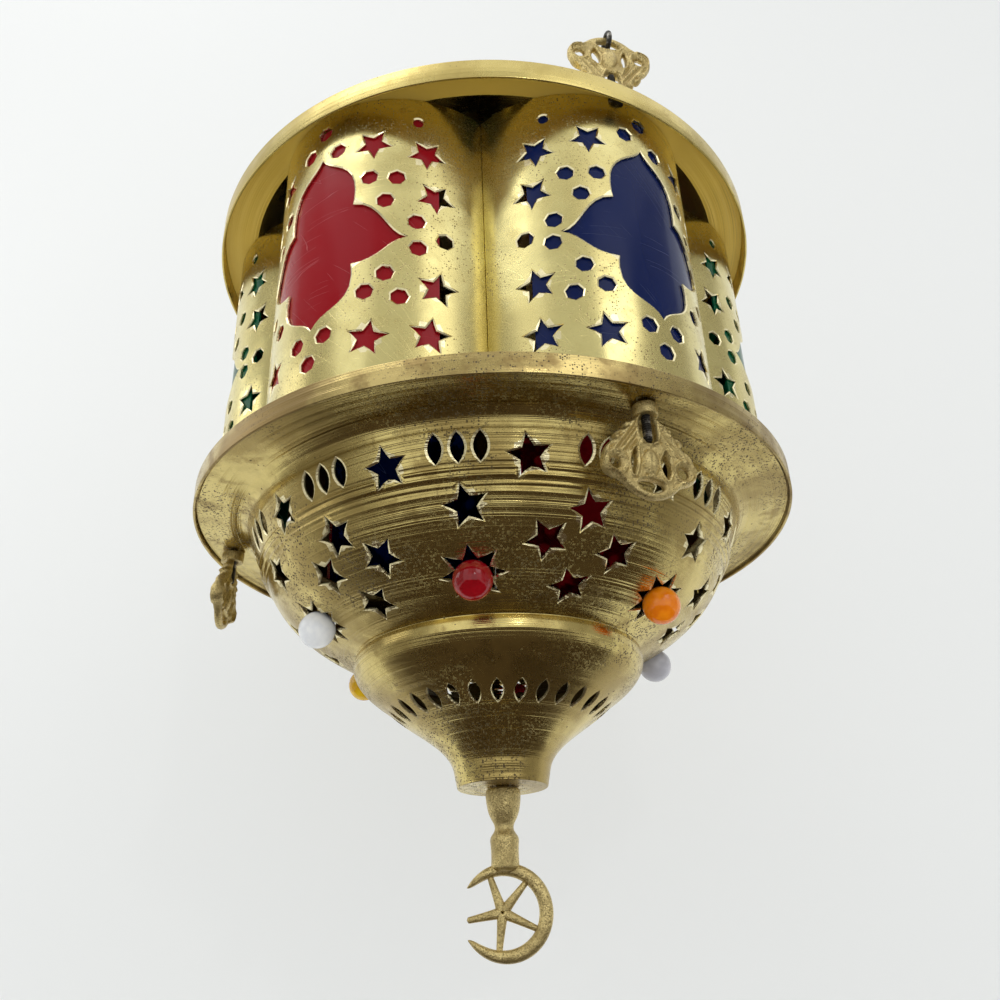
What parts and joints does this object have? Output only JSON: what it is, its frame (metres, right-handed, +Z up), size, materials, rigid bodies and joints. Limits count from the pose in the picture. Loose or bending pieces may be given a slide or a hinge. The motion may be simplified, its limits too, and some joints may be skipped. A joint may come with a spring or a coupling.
{
  "type": "moroccan hanging lantern",
  "caption": "Pierced brass hanging lantern with a lobed body, a spun cap and bowl, glass beads, cast lugs and pendants, coloured sheets and a cast finial.",
  "frame": {"origin": "on the lantern's axis, level with the arches of the three lugs that the chains pull on", "axes": "+Z up along the axis; -Y is the side that the picture looks at, where two lobes meet; +X to its right"},
  "size_m": [0.254, 0.254, 0.3487],
  "materials": {
    "spun_brass": "spun, aged, with fine turned lines and specks",
    "panel_brass": "bright pale sheet with fine scratches",
    "cast_brass": "cast, dull",
    "dark_steel": "darkened",
    "sleeve_metal": "pressed",
    "holder_plastic": "satin black",
    "sheet_blue": "glossy translucent, scratched",
    "sheet_green": "glossy translucent, scratched",
    "sheet_red": "glossy translucent, scratched",
    "bead_red": "glossy opaque",
    "bead_orange": "glossy opaque",
    "bead_grey": "glossy opaque",
    "bead_yellow": "glossy opaque",
    "bead_white": "glossy opaque"
  },
  "bodies": {
    "lantern": {"top_cap": "spun_brass", "base_rim": "spun_brass", "lower_bowl": "spun_brass", "lobe_panel_1": "panel_brass", "lobe_panel_2": "panel_brass", "lobe_panel_3": "panel_brass", "lobe_panel_4": "panel_brass", "lobe_panel_5": "panel_brass", "lobe_panel_6": "panel_brass", "colour_sheet_1": "sheet_blue", "colour_sheet_2": "sheet_green", "colour_sheet_3": "sheet_red", "colour_sheet_4": "sheet_blue", "colour_sheet_5": "sheet_green", "colour_sheet_6": "sheet_red", "glass_bead_1": "bead_red", "glass_bead_2": "bead_orange", "glass_bead_3": "bead_grey", "glass_bead_4": "bead_red", "glass_bead_5": "bead_yellow", "glass_bead_6": "bead_white", "top_lug_1": "cast_brass", "top_lug_2": "cast_brass", "top_lug_3": "cast_brass", "lug_screw_1": "dark_steel", "lug_screw_2": "dark_steel", "lug_screw_3": "dark_steel", "pendant_1": "cast_brass", "pendant_2": "cast_brass", "pendant_3": "cast_brass", "pendant_screw_1": "dark_steel", "pendant_screw_2": "dark_steel", "pendant_screw_3": "dark_steel", "finial": "cast_brass", "finial_washer": "cast_brass", "finial_nut": "cast_brass", "lamp_holder": "holder_plastic", "holder_sleeve": "sleeve_metal", "holder_nipple": "cast_brass", "nipple_nut_upper": "cast_brass", "nipple_nut_lower": "cast_brass", "cord_bush": "holder_plastic"},
    "ring_1": {"chain_ring_1": "dark_steel"},
    "ring_2": {"chain_ring_2": "dark_steel"},
    "ring_3": {"chain_ring_3": "dark_steel"}
  },
  "joints": [
    {"name": "ring_swing_1", "type": "hinge", "parent": "lantern", "child": "ring_1", "pos_m": [0.05402, -0.10603, 0], "axis": [0.9744, 0.225, 0], "range_deg": [-180, 180]},
    {"name": "ring_swing_2", "type": "hinge", "parent": "lantern", "child": "ring_2", "pos_m": [0.06481, 0.0998, 0], "axis": [-0.8387, 0.5446, 0], "range_deg": [-180, 180]},
    {"name": "ring_swing_3", "type": "hinge", "parent": "lantern", "child": "ring_3", "pos_m": [-0.11884, 0.00623, 0], "axis": [-0.0523, -0.9986, 0], "range_deg": [-180, 180]}
  ]
}
